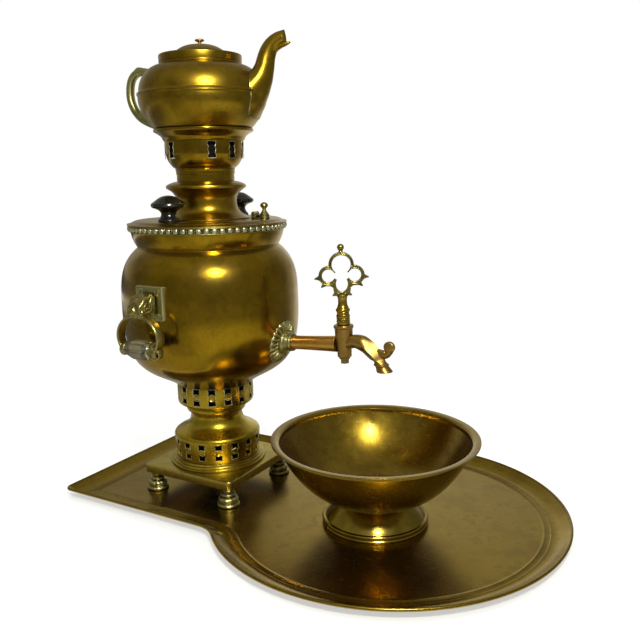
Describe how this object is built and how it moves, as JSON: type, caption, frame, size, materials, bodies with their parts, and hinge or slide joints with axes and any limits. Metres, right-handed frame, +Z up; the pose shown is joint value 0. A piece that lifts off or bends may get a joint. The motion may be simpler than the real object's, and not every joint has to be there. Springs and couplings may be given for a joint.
{
  "type": "samovar",
  "caption": "Charcoal samovar with pierced pedestal, tap with turning key, side handles and stacked teapot, standing on a keyhole tray with a drip bowl.",
  "frame": {"origin": "on the samovar's vertical axis, at the underside of the tray", "axes": "+Z up, +X from the samovar towards the tap and the bowl, the two side handles along Y"},
  "size_m": [0.52, 0.3638, 0.4887],
  "materials": {
    "polished_brass": "polished, lightly tarnished",
    "cast_brass": "cast, worn satin",
    "tap_bronze": "satin, reddish",
    "dark_brass": "dull, darkened",
    "black_lacquer": "turned, black gloss lacquer",
    "brown_wood": "faceted, waxed",
    "grate_iron": "rough cast"
  },
  "bodies": {
    "tray": {"tray_pan": "polished_brass"},
    "bowl": {"bowl_shell": "polished_brass", "bowl_foot": "polished_brass"},
    "samovar": {"foot_front_left": "cast_brass", "foot_front_right": "cast_brass", "foot_back_left": "cast_brass", "foot_back_right": "cast_brass", "foot_nuts": "dark_brass", "base_plate": "polished_brass", "base_ring": "polished_brass", "lower_gallery": "polished_brass", "pedestal_waist": "polished_brass", "upper_gallery": "polished_brass", "body_shell": "polished_brass", "neck_collar": "polished_brass", "bead_ring": "cast_brass", "fire_tube": "dark_brass", "grate": "grate_iron", "tap_rosette": "cast_brass", "tap_collar": "cast_brass", "tap_tube": "tap_bronze", "tap_back_nut": "dark_brass", "tap_socket": "tap_bronze", "tap_spout": "tap_bronze", "tap_leaf": "tap_bronze", "handle_plate_left": "cast_brass", "handle_plate_right": "cast_brass", "handle_loop_left": "cast_brass", "handle_loop_right": "cast_brass", "grip_pin_left": "cast_brass", "grip_pin_right": "cast_brass", "handle_rivets": "dark_brass"},
    "tap_key": {"tap_plug": "tap_bronze", "key_handle": "tap_bronze", "plug_washer": "dark_brass", "plug_nut": "dark_brass"},
    "grip_left": {"grip_left": "brown_wood"},
    "grip_right": {"grip_right": "brown_wood"},
    "lid": {"lid_plate": "polished_brass", "lid_collar": "polished_brass", "lid_knob_left": "black_lacquer", "lid_knob_right": "black_lacquer", "lid_knob_screws": "dark_brass", "vent_seat": "cast_brass", "vent_pin": "dark_brass"},
    "vent_cap": {"vent_cap": "cast_brass"},
    "crown": {"crown_base": "polished_brass", "crown_gallery": "polished_brass", "crown_rim": "polished_brass"},
    "teapot": {"teapot_bowl": "polished_brass", "teapot_shoulder": "polished_brass", "teapot_gallery": "polished_brass", "teapot_spout": "polished_brass", "teapot_handle": "dark_brass", "teapot_strainer": "dark_brass"},
    "teapot_lid": {"teapot_lid": "polished_brass", "teapot_lid_knob": "tap_bronze"}
  },
  "joints": [
    {"name": "bowl_lift", "type": "slide", "parent": "tray", "child": "bowl", "axis": [0, 0, 1], "range_m": [0, 0.05]},
    {"name": "samovar_lift", "type": "slide", "parent": "tray", "child": "samovar", "axis": [0, 0, 1], "range_m": [0, 0.06]},
    {"name": "tap_key_turn", "type": "hinge", "parent": "samovar", "child": "tap_key", "pos_m": [0.16535, 0, 0.17882], "axis": [-0.0314, 0, 0.9995], "range_deg": [-30, 60]},
    {"name": "grip_left_roll", "type": "hinge", "parent": "samovar", "child": "grip_left", "pos_m": [0, -0.114, 0.18032], "axis": [1, 0, 0], "continuous": true},
    {"name": "grip_right_roll", "type": "hinge", "parent": "samovar", "child": "grip_right", "pos_m": [0, 0.114, 0.18032], "axis": [1, 0, 0], "continuous": true},
    {"name": "lid_lift", "type": "slide", "parent": "samovar", "child": "lid", "axis": [0, 0, 1], "range_m": [0, 0.06]},
    {"name": "vent_cap_tip", "type": "hinge", "parent": "lid", "child": "vent_cap", "pos_m": [0.0563, 0.00892, 0.307], "axis": [0.1564, -0.9877, 0], "range_deg": [0, 95]},
    {"name": "crown_lift", "type": "slide", "parent": "lid", "child": "crown", "axis": [0, 0, 1], "range_m": [0, 0.04]},
    {"name": "teapot_lift", "type": "slide", "parent": "crown", "child": "teapot", "axis": [0, 0, 1], "range_m": [0, 0.06]},
    {"name": "teapot_lid_lift", "type": "slide", "parent": "teapot", "child": "teapot_lid", "axis": [0, 0, 1], "range_m": [0, 0.05]}
  ]
}
